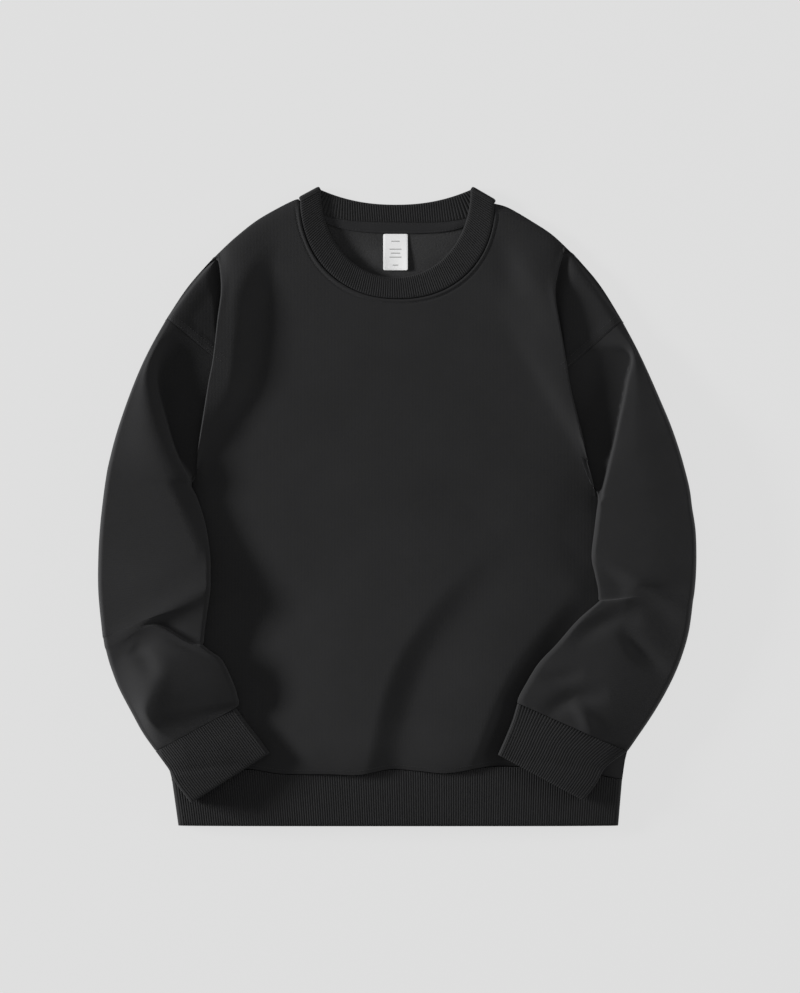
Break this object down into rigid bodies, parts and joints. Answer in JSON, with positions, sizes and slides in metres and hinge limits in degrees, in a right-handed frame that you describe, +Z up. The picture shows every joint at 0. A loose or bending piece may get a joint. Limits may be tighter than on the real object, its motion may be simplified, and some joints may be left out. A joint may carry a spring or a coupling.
{
  "type": "crewneck sweatshirt",
  "caption": "Fleece crewneck sweatshirt laid flat, long drop-shoulder sleeves folded down over its sides, ribbed collar, cuffs and hem.",
  "frame": {"origin": "middle of the garment's footprint, on the surface that it lies on", "axes": "+X towards the wearer's left sleeve, +Y from hem to neck, +Z up from the surface"},
  "size_m": [0.6591, 0.704, 0.0322],
  "materials": {
    "fleece": "soft matte cotton fleece",
    "rib": "matte rib knit",
    "tape": "matte jersey tape",
    "label": "smooth woven label"
  },
  "bodies": {
    "root": {"front_panel": "fleece", "back_panel": "fleece", "sleeve_right": "fleece", "sleeve_left": "fleece", "forearm_right": "fleece", "forearm_left": "fleece", "cuff_right": "rib", "cuff_left": "rib", "hem_band": "rib", "collar": "rib", "neck_tape": "tape", "neck_label": "label"}
  },
  "joints": []
}
